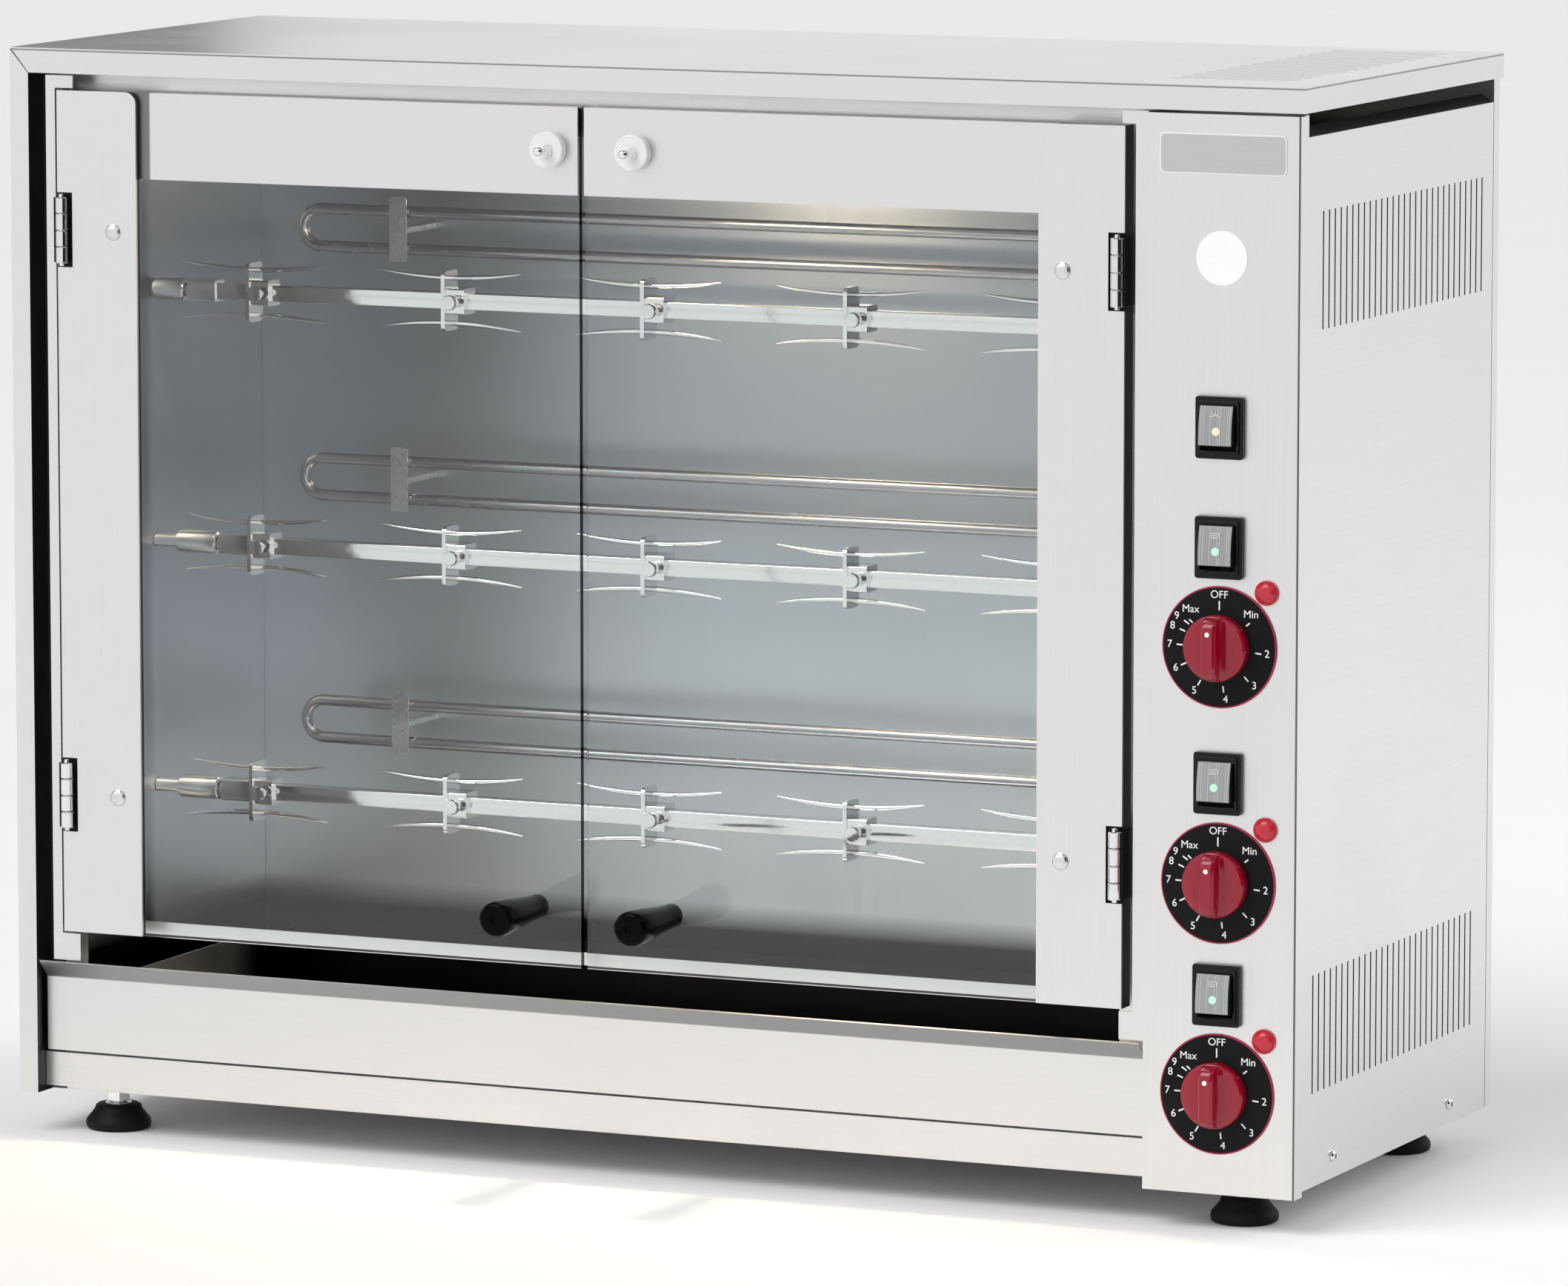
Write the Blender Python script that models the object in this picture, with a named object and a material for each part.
"""Electric rotisserie oven: three spits in a glazed cavity, with a control column on the right.

Every physical piece is its own closed solid, in metres, +Z up.  The front faces -Y, +X is to the
viewer's right, and the origin lies under the middle of the whole object, on the surface it stands on.
"""
import math

import bmesh
import bpy
from mathutils import Matrix, Vector

# ---- driving dimensions ------------------------------------------------------------------------
WIDTH = 1.000            # across the top cover
DEPTH = 0.390            # front of the top cover to the back panel
HEIGHT = 0.793           # floor to the top cover
BODY_Z = 0.030           # underside of the cabinet, which is the height of the feet
HANDLE_OUT = 0.065       # how far a door handle stands in front of the top cover
GLAND_OUT = 0.017        # how far the cable gland stands behind the back panel
SHEET = 0.0012           # sheet steel
GAP = 0.0003             # clearance between pieces that touch

HALF = WIDTH / 2
FRONT_Y = -(DEPTH + GLAND_OUT - HANDLE_OUT) / 2     # keeps the origin under the middle of the depth
BACK_Y = FRONT_Y + DEPTH
RIM_H = 0.018            # folded rim of the top cover
FLANGE_W = 0.015         # front flange of the left side panel
RIM_Z = HEIGHT - RIM_H

FRAME_IN = 0.022         # face frame, measured back from the front
CAVITY_X = (-0.478, 0.366)
CAVITY_Z = (0.0622, 0.745)
CAVITY_BACK = 0.350      # cavity depth, measured back from the front
SPIT_IN = 0.178
SPIT_Z = {"top": 0.605, "middle": 0.418, "bottom": 0.235}
ELEMENT_IN = 0.300
ELEMENT_UP = (0.024, 0.052)   # lower and upper run of an element, above its spit

DOOR_X = (-0.462, 0.368)
DOOR_Z = (0.151, 0.763)
DOOR_GAP = 0.005
STRIP_W = 0.064
DOOR_DEEP = 0.016
BAR_IN = 0.0055          # top bar, measured back from the door strips
BAR_H = 0.0625
GLASS_IN = 0.008
GLASS_T = 0.005
HINGE_Z = {"upper": 0.6625, "lower": 0.2515}
HINGE_LEN = 0.048
KNUCKLE_R = 0.0046
HINGE_INSET = 0.0045     # barrel axis, inboard of the door's edge
HINGE_OUT = 0.002        # barrel axis, in front of the door strip
HANDLE_X = {"left": -0.083, "right": 0.022}
HANDLE_Z = 0.193
POST_IN = 0.003          # folded posts of the face frame, beside the doors
POST_X = {"left": (-0.4725, -0.4650), "right": (0.3843, 0.3750)}   # outer and inner edge
POST_WIDE = {"left": -0.4505, "right": 0.3650}                     # inner edge above and below the door
POST_Z = (0.1292, 0.1490, 0.7645, 0.7735)

COLUMN_X = (0.385, 0.498)     # control panel
COLUMN_Z = (0.0265, 0.773)
CONTROL_X = 0.4405
SWITCH_Z = {"light": 0.559, "top": 0.4765, "middle": 0.3135, "bottom": 0.1662}
DIAL_Z = {"top": 0.4076, "middle": 0.2440, "bottom": 0.0970}
LAMP_OFFSET = (0.0345, 0.039)     # pilot lamp, right of and above its dial
FOOT_XY = ((-0.443, 0.045), (0.443, 0.045), (-0.443, 0.345), (0.443, 0.345))

SLOT_W = 0.0024
SLOTS = 29               # in each field of slots
VENT_X = (0.382, 0.470)  # slots of the top cover
VENT_IN = (0.052, 0.360)
VENT_STAGGER = 0.004
LOUVRE_X = (0.385, 0.470)
LOUVRE_H = 0.004
LOUVRE_Z = (0.560, 0.200)
LOUVRES = 10
LOUVRE_PITCH = 0.012
GLAND_XZ = (0.440, 0.075)


# ---- helpers ----------------------------------------------------------------------------------
def clear_scene():
    for obj in list(bpy.data.objects):
        bpy.data.objects.remove(obj, do_unlink=True)


def material(name, colour, metallic=0.0, roughness=0.4, alpha=1.0):
    mat = bpy.data.materials.get(name) or bpy.data.materials.new(name)
    mat.use_nodes = True
    shader = mat.node_tree.nodes["Principled BSDF"]
    shader.inputs["Base Color"].default_value = (*colour, 1.0)
    shader.inputs["Metallic"].default_value = metallic
    shader.inputs["Roughness"].default_value = roughness
    shader.inputs["Alpha"].default_value = alpha
    return mat


def stainless():
    return material("brushed_stainless", (0.80, 0.80, 0.79), 1.0, 0.32)


def liner_steel():
    return material("cavity_steel", (0.55, 0.58, 0.62), 1.0, 0.25)


def chrome():
    return material("chromed_steel", (0.85, 0.85, 0.86), 1.0, 0.12)


def black_plastic():
    return material("black_plastic", (0.015, 0.015, 0.016), 0.0, 0.3)


def red_plastic():
    return material("crimson_plastic", (0.42, 0.005, 0.03), 0.0, 0.2)


def add(name, bm, mat, origin=(0, 0, 0)):
    """Make the named object of a sub-part from a bmesh that is filled in world coordinates."""
    mesh = bpy.data.meshes.new(name)
    bmesh.ops.recalc_face_normals(bm, faces=bm.faces)
    bmesh.ops.translate(bm, verts=bm.verts, vec=-Vector(origin))
    bm.to_mesh(mesh)
    bm.free()
    obj = bpy.data.objects.new(name, mesh)
    obj.location = origin
    mesh.materials.append(mat)
    bpy.context.scene.collection.objects.link(obj)
    return obj


def box(lo, hi, bm=None):
    """A box from its lowest to its highest corner."""
    bm = bm or bmesh.new()
    size = Vector(hi) - Vector(lo)
    middle = (Vector(hi) + Vector(lo)) / 2
    matrix = Matrix.Translation(middle) @ Matrix.Diagonal((*size, 1.0))
    bmesh.ops.create_cube(bm, size=1.0, matrix=matrix)
    return bm


AXES = {"x": (1, 2, 0), "y": (0, 2, 1), "z": (0, 1, 2)}


def prism(outline, axis, start, end, bm=None):
    """Extrude an outline along an axis; its points are the other two coordinates, in X, Y, Z order."""
    bm = bm or bmesh.new()
    first, second, along = AXES[axis]
    verts = []
    for a, b in outline:
        point = [0.0, 0.0, 0.0]
        point[first], point[second], point[along] = a, b, start
        verts.append(bm.verts.new(point))
    face = bm.faces.new(verts)
    grown = bmesh.ops.extrude_face_region(bm, geom=[face])
    tops = [v for v in grown["geom"] if isinstance(v, bmesh.types.BMVert)]
    shift = [0.0, 0.0, 0.0]
    shift[along] = end - start
    bmesh.ops.translate(bm, verts=tops, vec=shift)
    return bm


def turned(profile, centre, axis, segments=24, bm=None):
    """Spin a profile of (radius, height) points about an axis through the centre."""
    bm = bm or bmesh.new()
    turn = Vector((0, 0, 1)).rotation_difference(Vector(axis)).to_matrix().to_4x4()
    place = Matrix.Translation(centre) @ turn
    verts = [bm.verts.new(place @ Vector((r, 0, h))) for r, h in profile]
    edges = [bm.edges.new(pair) for pair in zip(verts, verts[1:])]
    bmesh.ops.spin(bm, geom=verts + edges, cent=centre, axis=Vector(axis), dvec=(0, 0, 0),
                   angle=math.tau, steps=segments, use_merge=True)
    bmesh.ops.remove_doubles(bm, verts=bm.verts, dist=1e-6)
    return bm


def rod(radius, start, end, segments=16, bm=None):
    """A plain round bar between two points."""
    along = Vector(end) - Vector(start)
    return turned([(0, 0), (radius, 0), (radius, along.length), (0, along.length)],
                  start, along.normalized(), segments, bm)


def helper(target, bm, operation):
    """Apply a hidden solid to the target with an exact Boolean."""
    solid = add(f"{operation.lower()}_{target.name}_{len(target.modifiers)}", bm, target.data.materials[0])
    solid.hide_render = True
    solid.display_type = "WIRE"
    modifier = target.modifiers.new(operation.lower(), "BOOLEAN")
    modifier.operation = operation
    modifier.object = solid
    modifier.solver = "EXACT"


def cut(target, *solids):
    for bm in solids:
        helper(target, bm, "DIFFERENCE")


def join(target, *solids):
    for bm in solids:
        helper(target, bm, "UNION")


def smooth(obj, angle=40):
    obj.data.shade_smooth()
    obj.data.set_sharp_from_angle(angle=math.radians(angle))
    return obj


def fy(depth):
    """A Y coordinate from a distance behind the front of the top cover."""
    return FRONT_Y + depth


def slot_row(count, first, pitch, make_slot):
    """One cutter mesh with a slot at each place of an even row."""
    bm = bmesh.new()
    for i in range(count):
        make_slot(bm, first + i * pitch)
    return bm


# ---- cabinet ------------------------------------------------------------------------------------
def top_cover():
    cover = add("top_cover", box((-HALF, FRONT_Y, RIM_Z), (HALF, BACK_Y, HEIGHT)), stainless())
    inner = HALF - SHEET
    cut(cover, box((-inner, FRONT_Y + SHEET, RIM_Z - 0.01), (inner, BACK_Y - SHEET, HEIGHT - SHEET)))
    low = RIM_Z - 0.01
    reach = FLANGE_W * (HEIGHT - low) / RIM_H
    mitre = [(-HALF - 0.01, low), (-HALF + reach + GAP, low), (-HALF + GAP, HEIGHT), (-HALF - 0.01, HEIGHT)]
    cut(cover, prism(mitre, "y", FRONT_Y - 0.01, FRONT_Y + SHEET + GAP))
    first, last = VENT_IN
    pitch = (last - first) / (SLOTS - 1)

    def vent(bm, depth):
        shift = VENT_STAGGER * (round((depth - first) / pitch) % 2 - 0.5)
        box((VENT_X[0] + shift, fy(depth) - SLOT_W / 2, HEIGHT - 0.01),
            (VENT_X[1] + shift, fy(depth) + SLOT_W / 2, HEIGHT + 0.01), bm)

    cut(cover, slot_row(SLOTS, first, pitch, vent))


def left_side_panel():
    outer, inner, edge = -HALF, -HALF + SHEET, -HALF + FLANGE_W
    back = BACK_Y - 0.012
    flange_end = fy(FRAME_IN) - GAP
    outline = [(outer, FRONT_Y), (edge, FRONT_Y), (edge, flange_end), (edge - SHEET, flange_end),
               (edge - SHEET, FRONT_Y + SHEET), (inner, FRONT_Y + SHEET), (inner, back), (outer, back)]
    panel = add("left_side_panel", prism(outline, "z", BODY_Z, RIM_Z - GAP), stainless())
    low, tip = RIM_Z - 0.002, edge - 0.0005
    corner = [(outer, low), (tip, low), (tip, RIM_Z), (outer, HEIGHT - SHEET)]
    join(panel, prism(corner, "y", FRONT_Y, FRONT_Y + SHEET - 0.0001))


def right_side_panel():
    outer = COLUMN_X[1] - 0.0008
    inner = outer - SHEET
    top, fold = RIM_Z - 0.017, 0.010
    tip = top + 0.006
    outline = [(outer, BODY_Z), (outer, top), (outer - fold, tip), (outer - fold, tip - SHEET),
               (inner, top - SHEET), (inner, BODY_Z)]
    panel = add("right_side_panel", prism(outline, "y", fy(0.0130), fy(0.3775)), stainless())
    for first, low, high in ((0.043, 0.6245, 0.706), (0.033, 0.0955, 0.1785)):
        def slot(bm, depth, low=low, high=high):
            y0, y1 = fy(depth) - SLOT_W / 2, fy(depth) + SLOT_W / 2
            box((inner - 0.01, y0, low), (outer + 0.01, y1, high), bm)
        cut(panel, slot_row(SLOTS, first, 0.312 / (SLOTS - 1), slot))


def back_panel():
    side = COLUMN_X[1] - 0.0008
    y0, y1, wing = BACK_Y - SHEET - GAP, BACK_Y - GAP, BACK_Y - 0.0116
    inner = side - SHEET
    outline = [(-side, wing), (-side, y1), (side, y1), (side, wing),
               (inner, wing), (inner, y0), (-inner, y0), (-inner, wing)]
    panel = add("back_panel", prism(outline, "z", BODY_Z, RIM_Z - GAP), stainless())

    def louvre(bm, z):
        box((LOUVRE_X[0], y0 - 0.01, z - LOUVRE_H / 2), (LOUVRE_X[1], y1 + 0.01, z + LOUVRE_H / 2), bm)

    for first in LOUVRE_Z:
        cut(panel, slot_row(LOUVRES, first, LOUVRE_PITCH, louvre))
    x, z = GLAND_XZ
    cut(panel, rod(0.0105, (x, y0 - 0.01, z), (x, y1 + 0.01, z)))


def base_pan():
    x = HALF - 0.0045
    y0, y1 = fy(FRAME_IN) + 0.0125, BACK_Y - 0.0125
    pan = add("base_pan", box((-x, y0, BODY_Z), (x, y1, BODY_Z + 0.02)), stainless())
    cut(pan, box((SHEET - x, y0 + SHEET, BODY_Z + SHEET), (x - SHEET, y1 - SHEET, BODY_Z + 0.04)))
    for px, depth in FOOT_XY:
        cut(pan, rod(0.0046, (px, fy(depth), BODY_Z - 0.01), (px, fy(depth), BODY_Z + 0.01), 8))


def post(side):
    """A post of the face frame: folded forward beside the door, and wider above and below it."""
    outer, inner = POST_X[side]
    way = 1 if inner > outer else -1
    wide, skin = POST_WIDE[side], outer + way * SHEET
    y0, y1, back = fy(POST_IN), fy(POST_IN) + SHEET, fy(FRAME_IN) + SHEET / 2
    z0, z1, z2, z3 = POST_Z
    outline = [(outer, z0), (wide, z0), (wide, z1), (inner, z1),
               (inner, z2), (wide, z2), (wide, z3), (outer, z3)]
    upright = sorted((outer, skin))
    return prism(outline, "y", y0, y1), box((upright[0], y1 - SHEET / 2, z0), (upright[1], back, z3))


def front_frame():
    y0 = fy(FRAME_IN)
    lo, hi = (-HALF + 0.0018, y0, BODY_Z + GAP), (0.3844, y0 + SHEET, RIM_Z - 0.0015)
    frame = add("front_frame", box(lo, hi), stainless())
    for low, high in ((0.0605, 0.150), (0.159, 0.740)):
        cut(frame, box((-0.455, y0 - 0.01, low), (0.358, y0 + 0.01, high)))
    for side in POST_X:
        join(frame, *post(side))


def front_rail():
    y0, y1 = fy(0.012), fy(FRAME_IN) - GAP
    z0, z1 = BODY_Z + 0.004, 0.0590
    outline = [(y0, z0), (y1, z0), (y1, z0 + SHEET), (y0 + SHEET, z0 + SHEET), (y0 + SHEET, z1 - SHEET),
               (y1, z1 - SHEET), (y1, z1), (y0, z1)]
    add("front_rail", prism(outline, "x", -HALF + FLANGE_W + GAP, COLUMN_X[0] - GAP), stainless())


def control_panel():
    (x0, x1), (z0, z1) = COLUMN_X, COLUMN_Z
    y0, y1 = fy(-0.0015), fy(FRAME_IN) - GAP
    panel = add("control_panel", box((x0, y0, z0), (x1, y1, z1)), stainless())
    cut(panel, box((x0 + SHEET, y0 + SHEET, z0 + SHEET), (x1 - SHEET, y1 + 0.01, z1 - SHEET)))
    cut(panel, box((x1 - 0.004, fy(0.0125), z0 - 0.01), (x1 + 0.01, y1 + 0.01, z1 + 0.01)))
    for z in SWITCH_Z.values():
        lo, hi = (CONTROL_X - 0.0145, y0 - 0.01, z - 0.0185), (CONTROL_X + 0.0145, y0 + 0.006, z + 0.0185)
        cut(panel, box(lo, hi))
    for z in DIAL_Z.values():
        cut(panel, rod(0.0045, (CONTROL_X, y0 - 0.01, z), (CONTROL_X, y0 + 0.006, z)))
        x, zl = CONTROL_X + LAMP_OFFSET[0], z + LAMP_OFFSET[1]
        cut(panel, rod(0.0070, (x, y0 - 0.01, zl), (x, y0 + 0.006, zl)))


# ---- cavity -------------------------------------------------------------------------------------
def cavity_side_walls():
    z0, z1 = CAVITY_Z
    y0, y1 = fy(FRAME_IN) + SHEET + GAP, fy(CAVITY_BACK) - GAP
    for name, x, way in (("cavity_left_wall", CAVITY_X[0], 1), ("cavity_right_wall", CAVITY_X[1], -1)):
        runner = x + way * 0.038
        skin = x - way * SHEET
        outline = [(x, z1), (skin, z1), (skin, z0), (runner, z0), (runner, z0 + SHEET), (x, z0 + SHEET)]
        wall = add(name, prism(outline, "y", y0, y1), liner_steel())
        radius = 0.0054 if way > 0 else 0.0108
        for z in SPIT_Z.values():
            cut(wall, rod(radius, (x - 0.01, fy(SPIT_IN), z), (x + 0.01, fy(SPIT_IN), z)))
            for up in ELEMENT_UP if way < 0 else ():
                y = fy(ELEMENT_IN)
                cut(wall, rod(0.0055, (x - 0.01, y, z + up), (x + 0.01, y, z + up), 12))


def cavity_liner():
    y0, y1 = fy(FRAME_IN) + SHEET + GAP, fy(CAVITY_BACK)
    z0, z1 = CAVITY_Z
    top = z1 + GAP
    skin, lip = top + SHEET, top + 0.012
    outline = [(y0, top), (y1, top), (y1, z0), (y1 + SHEET, z0), (y1 + SHEET, skin), (y0 + SHEET, skin),
               (y0 + SHEET, lip), (y0, lip)]
    liner = add("cavity_liner", prism(outline, "x", CAVITY_X[0] - SHEET, CAVITY_X[1] + SHEET), liner_steel())
    cut(liner, box((-0.140, fy(0.080), top - 0.01), (-0.060, fy(0.130), top + 0.005)))


def cavity_lamp():
    z = CAVITY_Z[1] + SHEET + 2 * GAP
    lamp = add("cavity_lamp", box((-0.148, fy(0.072), z), (-0.052, fy(0.138), z + 0.022)),
               material("lamp_glass", (1.0, 0.86, 0.62), 0.0, 0.2))
    join(lamp, box((-0.138, fy(0.082), z - 0.006), (-0.062, fy(0.128), z + 0.002)))


def heating_elements():
    mat = material("element_steel", (0.20, 0.19, 0.19), 1.0, 0.35)
    for name, z in SPIT_Z.items():
        low, high = (z + up for up in ELEMENT_UP)
        middle, bend = (low + high) / 2, (high - low) / 2
        left, right = -0.416 + bend, CAVITY_X[1] + 0.024
        path = [(right, low), (left, low)]
        for step in range(1, 8):
            angle = math.pi * step / 8
            path.append((left - bend * math.sin(angle), middle - bend * math.cos(angle)))
        path += [(left, high), (right, high)]
        curve = bpy.data.curves.new(f"heating_element_{name}", "CURVE")
        curve.dimensions = "3D"
        curve.bevel_depth = 0.0043
        curve.bevel_resolution = 2
        curve.use_fill_caps = True
        spline = curve.splines.new("POLY")
        spline.points.add(len(path) - 1)
        for point, (x, pz) in zip(spline.points, path):
            point.co = (x, fy(ELEMENT_IN), pz, 1.0)
        curve.materials.append(mat)
        obj = bpy.data.objects.new(f"heating_element_{name}", curve)
        bpy.context.scene.collection.objects.link(obj)


# ---- drives and electrics in the column ---------------------------------------------------------
def gearmotors():
    mat = material("cast_gearbox", (0.45, 0.46, 0.47), 0.9, 0.45)
    x0 = CAVITY_X[1] + SHEET + 0.0018
    y = fy(SPIT_IN)
    for name, z in SPIT_Z.items():
        gearbox = box((x0, y - 0.036, z - 0.045), (x0 + 0.028, y + 0.036, z + 0.045))
        motor = add(f"gearmotor_{name}", gearbox, mat)
        join(motor, rod(0.030, (x0 + 0.02, y, z + 0.008), (x0 + 0.085, y, z + 0.008), 20))
        cut(motor, rod(0.0054, (x0 - 0.01, y, z), (x0 + 0.0245, y, z)))


def energy_regulators():
    mat = material("phenolic", (0.05, 0.045, 0.04), 0.0, 0.5)
    face = fy(-0.0015) + SHEET + GAP
    for name, z in DIAL_Z.items():
        case = box((CONTROL_X - 0.018, face, z - 0.018), (CONTROL_X + 0.018, face + 0.032, z + 0.018))
        body = add(f"energy_regulator_{name}", case, mat)
        join(body, rod(0.0041, (CONTROL_X, face - 0.0035, z), (CONTROL_X, face + 0.004, z)))
        cut(body, rod(0.0026, (CONTROL_X, face - 0.01, z), (CONTROL_X, face + 0.012, z), 12))


def switch_frames():
    front = fy(-0.0015)

    def block(half_x, half_z, z, y0, y1):
        return box((CONTROL_X - half_x, front + y0, z - half_z), (CONTROL_X + half_x, front + y1, z + half_z))

    for name, z in SWITCH_Z.items():
        frame = add(f"switch_frame_{name}", block(0.0175, 0.0215, z, -0.0030, -GAP), black_plastic())
        join(frame, block(0.0141, 0.0181, z, -0.002, 0.026))
        cut(frame, block(0.0131, 0.0165, z, -0.01, 0.0175))


def pilot_lamps():
    mat = material("red_lens", (0.65, 0.02, 0.03), 0.0, 0.15)
    front = fy(-0.0015)
    dome = [(0, 0.0048)] + [(0.0074 * math.sin(a), 0.0018 + 0.0030 * math.cos(a))
                            for a in (math.radians(d) for d in (30, 60, 90))]
    body = [(0.0080, 0.0018), (0.0080, GAP), (0.0066, GAP), (0.0066, -0.024), (0, -0.024)]
    for name, z in DIAL_Z.items():
        lamp = turned(dome + body, (CONTROL_X + LAMP_OFFSET[0], front, z + LAMP_OFFSET[1]), (0, -1, 0), 14)
        smooth(add(f"pilot_lamp_{name}", lamp, mat))


def terminal_block():
    x, z = 0.400, BODY_Z + SHEET + GAP
    y0 = fy(0.300)
    block = add("terminal_block", box((x, y0, z), (x + 0.022, y0 + 0.060, z + 0.030)),
                material("terminal_plastic", (0.75, 0.74, 0.70), 0.0, 0.5))

    def split(bm, y):
        box((x + 0.008, y - 0.001, z + 0.014), (x + 0.03, y + 0.001, z + 0.05), bm)

    cut(block, slot_row(4, y0 + 0.012, 0.012, split))


def cable_gland():
    (x, z), wall, end = GLAND_XZ, BACK_Y - GAP, GLAND_OUT + GAP
    profile = [(0, -0.014), (0.0098, -0.014), (0.0098, GAP), (0.0140, GAP), (0.0140, 0.0070),
               (0.0125, 0.0075), (0.0118, 0.0120), (0.0085, end), (0.0050, end), (0.0045, 0.013), (0, 0.013)]
    smooth(add("cable_gland", turned(profile, (x, wall, z), (0, 1, 0), 14), black_plastic()))


# ---- doors --------------------------------------------------------------------------------------
def door_sides():
    """Name, outer edge, way inboard, and the X of the inner edge of each door."""
    centre = sum(DOOR_X) / 2
    half = DOOR_GAP / 2
    return ("left", DOOR_X[0], 1, centre - half), ("right", DOOR_X[1], -1, centre + half)


def knuckles(edge, way, zc, moving):
    """The rings of one hinge barrel: the moving or the fixed half of its four knuckles."""
    x, y = edge + way * HINGE_INSET, fy(-HINGE_OUT)
    length = HINGE_LEN / 4
    rings = []
    for i in range(4):
        if (i % 2 == 0) != moving:
            continue
        low = zc - HINGE_LEN / 2 + i * length + GAP / 2
        rings.append((x, y, low, low + length - GAP))
    return rings


def hinge_leaves():
    for side, edge, way, _ in door_sides():
        for level, zc in HINGE_Z.items():
            x, y = edge + way * HINGE_INSET, fy(-HINGE_OUT)
            low, high = zc - HINGE_LEN / 2, zc + HINGE_LEN / 2
            pin = [(0, low - 0.0022), (0.0021, low - 0.0017), (0.0021, high + 0.0017), (0, high + 0.0022)]
            leaf = add(f"{side}_hinge_{level}", turned(pin, (x, y, 0), (0, 0, 1), 8), chrome())
            out, far = edge - way * 0.0005, edge - way * 0.0020
            web = edge - way * 0.0012      # inside the leaf's thickness
            for rx, ry, z0, z1 in knuckles(edge, way, zc, False):
                join(leaf, rod(KNUCKLE_R, (rx, ry, z0), (rx, ry, z1), 12))
                xs = sorted((web, x - way * 0.003))
                join(leaf, box((xs[0], y - 0.0009, z0 + GAP), (xs[1], y + 0.0009, z1 - GAP)))
            foot, sole, front = edge - way * 0.0085, fy(FRAME_IN) - GAP, y - 0.0008
            outline = [(out, front), (out, sole), (foot, sole), (foot, sole - SHEET), (far, sole - SHEET),
                       (far, front)]
            join(leaf, prism(outline, "z", low + 0.0002, high - 0.0002))
            smooth(leaf)


def corner_waste(edge, way):
    """What the rounded upper inner corner of a door strip loses."""
    inner, top, radius = edge + way * STRIP_W, DOOR_Z[1], 0.008
    outline = [(inner + way * 0.01, top + 0.01), (inner - way * radius, top + 0.01)]
    for step in range(5):
        angle = math.radians(90 * step / 4)
        across, down = radius * (1 - math.sin(angle)), radius * (1 - math.cos(angle))
        outline.append((inner - way * across, top - down))
    outline.append((inner + way * 0.01, top - radius))
    return outline


def door_strips():
    for side, edge, way, _ in door_sides():
        origin = (edge + way * HINGE_INSET, fy(-HINGE_OUT), 0)
        inner, skin, back = edge + way * STRIP_W, edge + way * SHEET, fy(DOOR_DEEP)
        fold, lip = inner - way * SHEET, fy(BAR_IN) - GAP
        outline = [(edge, FRONT_Y), (inner, FRONT_Y), (inner, lip), (fold, lip), (fold, FRONT_Y + SHEET),
                   (skin, FRONT_Y + SHEET), (skin, back), (edge, back)]
        strip = add(f"{side}_door_strip", prism(outline, "z", *DOOR_Z), stainless(), origin)
        cut(strip, prism(corner_waste(edge, way), "y", FRONT_Y - 0.01, FRONT_Y + 0.01))
        for zc in HINGE_Z.values():
            half = HINGE_LEN / 2 + 0.003
            xs = sorted((edge - way * 0.01, edge + way * 0.0120))
            cut(strip, box((xs[0], FRONT_Y - 0.01, zc - half), (xs[1], fy(0.0036), zc + half)))
            xs = sorted((edge + way * 0.0004, edge + way * 0.0165))
            join(strip, box((xs[0], fy(0.0031), zc - half - 0.004), (xs[1], fy(0.0043), zc + half + 0.004)))
            xs = sorted((edge + way * 0.0127, edge + way * 0.0160))
            join(strip, box((xs[0], fy(0.0006), zc - half + 0.004), (xs[1], fy(0.0037), zc + half - 0.004)))
            for x, y, z0, z1 in knuckles(edge, way, zc, True):
                join(strip, rod(KNUCKLE_R, (x, y, z0), (x, y, z1), 12),
                     box((x - 0.002, y, z0 + GAP), (x + 0.002, fy(0.0037), z1 - GAP)))
                cut(strip, rod(0.0026, (x, y, z0 - 0.001), (x, y, z1 + 0.001), 8))


def door_glass_and_bars():
    glass = material("door_glass", (0.85, 0.92, 0.90), 0.0, 0.03, 0.25)
    for side, edge, way, inner in door_sides():
        origin = (edge + way * HINGE_INSET, fy(-HINGE_OUT), 0)
        xs = sorted((edge + way * 0.0020, inner))
        add(f"{side}_door_glass", box((xs[0], fy(GLASS_IN), DOOR_Z[0] - 0.001),
                                      (xs[1], fy(GLASS_IN + GLASS_T), DOOR_Z[1] - 0.0016)), glass, origin)
        xs = sorted((edge + way * (STRIP_W - 0.012), inner))
        y0, y1, z0, z1 = fy(BAR_IN), fy(DOOR_DEEP), DOOR_Z[1] - BAR_H, DOOR_Z[1] - GAP
        lip = fy(GLASS_IN) - GAP
        outline = [(y0, z0), (lip, z0), (lip, z0 + SHEET), (y0 + SHEET, z0 + SHEET),
                   (y0 + SHEET, z1 - SHEET), (y1, z1 - SHEET), (y1, z1), (y0, z1)]
        add(f"{side}_door_top_bar", prism(outline, "x", *xs), stainless(), origin)


def door_handles():
    length = HANDLE_OUT + GLASS_IN - GAP
    profile = [(0, 0), (0.0088, 0), (0.0090, 0.004)]
    for step in range(1, 5):
        t = step / 4
        profile.append((0.0090 + 0.0038 * t * t * (3 - 2 * t), 0.004 + (length - 0.020) * t))
    for angle in (25, 50, 70):
        a = math.radians(angle)
        profile.append((0.0128 * math.cos(a) ** 0.6, length - 0.016 + 0.016 * math.sin(a)))
    profile += [(0.0042, length), (0.0036, length - 0.004), (0, length - 0.004)]
    for side, edge, way, _ in door_sides():
        origin = (edge + way * HINGE_INSET, fy(-HINGE_OUT), 0)
        base = (HANDLE_X[side], fy(GLASS_IN) - GAP, HANDLE_Z)
        smooth(add(f"{side}_door_handle", turned(profile, base, (0, -1, 0), 16), black_plastic(), origin))


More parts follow.
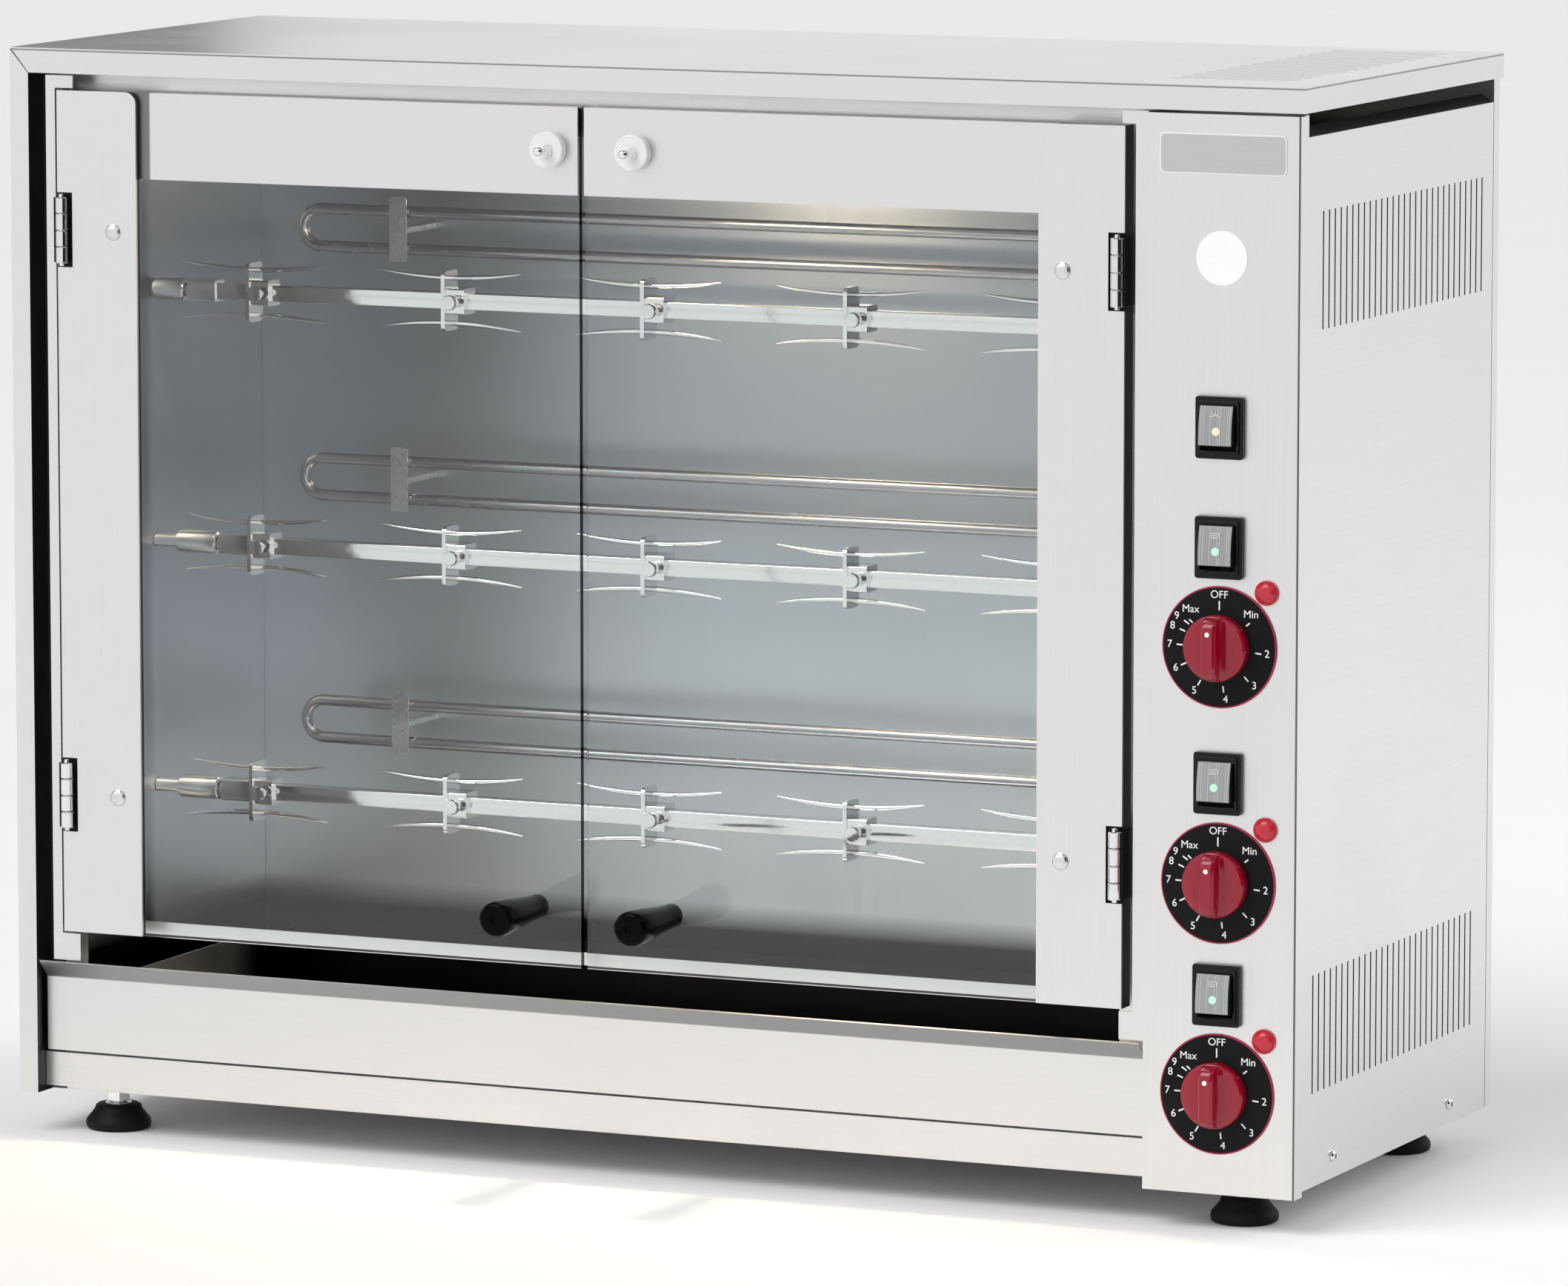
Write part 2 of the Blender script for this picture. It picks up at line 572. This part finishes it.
# ---- drip tray ----------------------------------------------------------------------------------
def drip_tray():
    x0, x1 = -HALF + FLANGE_W + 0.003, COLUMN_X[0] - 0.003
    front = fy(0.010)
    outline = [(front, 0.061), (front, 0.115), (fy(-0.0015), 0.1275), (fy(-0.0015) + 0.0009, 0.1283),
               (front + SHEET, 0.1155), (front + SHEET, 0.061)]
    tray = add("drip_tray", prism(outline, "x", x0, x1), stainless())
    px0, px1, z0, z1 = -0.447, 0.350, CAVITY_Z[0] + SHEET + 0.0006, 0.112
    join(tray, box((px0, front + 0.0006, z0), (px1, fy(0.330), z1)))
    cut(tray, box((px0 + SHEET, front + 0.0018, z0 + SHEET), (px1 - SHEET, fy(0.330) - SHEET, z1 + 0.03)))


# ---- spits --------------------------------------------------------------------------------------
FORK_X = (-0.395, -0.235, -0.075, 0.085, 0.245)
ROD_SIDE = 0.012


def fork_prongs(x, y, z):
    """A fork: a square plate with four tapered prongs, two each way along the spit."""
    solids = [box((x - 0.0015, y - 0.011, z - 0.022), (x + 0.0015, y + 0.011, z + 0.022))]
    for way in (-1, 1):
        for up in (-1, 1):
            root, tip = x + way * 0.0005, x + way * 0.058
            zc = z + up * (0.016 if way > 0 else 0.019)
            outline = [(root, zc - 0.0019), (tip, zc - 0.0004), (tip, zc + 0.0004), (root, zc + 0.0019)]
            solids.append(prism(outline, "y", y - 0.0015, y + 0.0015))
    return solids


def spits():
    y, half = fy(SPIT_IN), ROD_SIDE / 2
    end = CAVITY_X[1] - 0.0075
    for name, z in SPIT_Z.items():
        collar = (-0.4755, -0.450) if name == "top" else (-0.458, -0.425)
        bar = box((collar[1] - 0.002, y - half, z - half), (end, y + half, z + half))
        spit = add(f"spit_{name}", bar, chrome(), (0, y, z))
        join(spit, rod(0.0085, (collar[0], y, z), (collar[1], y, z), 20))
        join(spit, rod(0.0050, (CAVITY_X[0] - 0.012, y, z), (collar[0] + 0.004, y, z)))
        for x in FORK_X:
            join(spit, *fork_prongs(x, y, z))


def drive_sockets():
    mat = material("socket_steel", (0.60, 0.60, 0.60), 1.0, 0.3)
    y, x0 = fy(SPIT_IN), CAVITY_X[1] - 0.022
    half, face = ROD_SIDE / 2 + GAP, CAVITY_X[1] + SHEET + 0.0012
    for name, z in SPIT_Z.items():
        cup = rod(0.0100, (x0, y, z), (face, y, z), 20)
        socket = add(f"drive_socket_{name}", cup, mat, (0, y, z))
        join(socket, rod(0.0050, (face - 0.001, y, z), (face + 0.022, y, z)))
        cut(socket, box((x0 - 0.01, y - half, z - half), (x0 + 0.0155, y + half, z + half)))


# ---- controls that move -------------------------------------------------------------------------
def knobs():
    front = fy(-0.0015) - 0.0040
    skirt = [(0, 0), (0.0230, 0), (0.0232, 0.003), (0.0222, 0.0085), (0.0200, 0.0105), (0, 0.0105)]
    for name, z in DIAL_Z.items():
        centre = (CONTROL_X, front, z)
        knob = add(f"knob_{name}", turned(skirt, centre, (0, -1, 0), 24), red_plastic(), centre)
        half_grip = [(0.0048, 0.008), (0.0042, 0.0205), (0.0030, 0.0220)]
        grip = half_grip + [(-x, h) for x, h in reversed(half_grip)]
        outline = [(CONTROL_X + x, front - h) for x, h in grip]
        join(knob, prism(outline, "z", z - 0.0205, z + 0.0205))
        shaft_end = fy(-0.0015) + SHEET + 0.008
        join(knob, rod(0.0023, (CONTROL_X, front - 0.005, z), (CONTROL_X, shaft_end, z), 12))
        smooth(knob, 30)


def rockers():
    mat = material("rocker_lens", (0.45, 0.47, 0.46), 0.0, 0.25)
    axis_y, tilt = fy(-0.0015) + 0.006, math.radians(7)
    profile = [(-0.0128, -0.0125), (0.0128, -0.0125), (0.0140, 0.0), (0.0100, 0.0060), (-0.0100, 0.0060),
               (-0.0140, 0.0)]
    for name, z in SWITCH_Z.items():
        outline = []
        for up, back in profile:
            outline.append((axis_y + back * math.cos(tilt) + up * math.sin(tilt),
                            z + up * math.cos(tilt) - back * math.sin(tilt)))
        rocker = prism(outline, "x", CONTROL_X - 0.0125, CONTROL_X + 0.0125)
        add(f"rocker_{name}", rocker, mat, (CONTROL_X, axis_y, z))


def feet():
    rubber = material("foot_rubber", (0.02, 0.02, 0.02), 0.0, 0.6)
    profile = [(0, 0), (0.0235, 0), (0.0240, 0.0015), (0.0236, 0.0060), (0.0175, 0.0150), (0.0130, 0.0175),
               (0.0085, 0.0178), (0.0085, BODY_Z - 0.0022), (0.0100, BODY_Z - 0.0020), (0.0100, BODY_Z - GAP),
               (0.0040, BODY_Z - GAP), (0.0040, BODY_Z + 0.012), (0, BODY_Z + 0.012)]
    names = ("front_left", "front_right", "rear_left", "rear_right")
    for (x, depth), name in zip(FOOT_XY, names):
        origin = (x, fy(depth), 0)
        smooth(add(f"foot_{name}", turned(profile, origin, (0, 0, 1), 20), rubber, origin))


def main():
    clear_scene()
    cabinet = (top_cover, left_side_panel, right_side_panel, back_panel, base_pan, front_frame, front_rail,
               control_panel, cavity_side_walls, cavity_liner, cavity_lamp, heating_elements)
    column = (gearmotors, energy_regulators, switch_frames, pilot_lamps, terminal_block, cable_gland)
    movers = (hinge_leaves, door_strips, door_glass_and_bars, door_handles, drip_tray, spits,
              drive_sockets, knobs, rockers, feet)
    for make in cabinet + column + movers:
        make()


main()
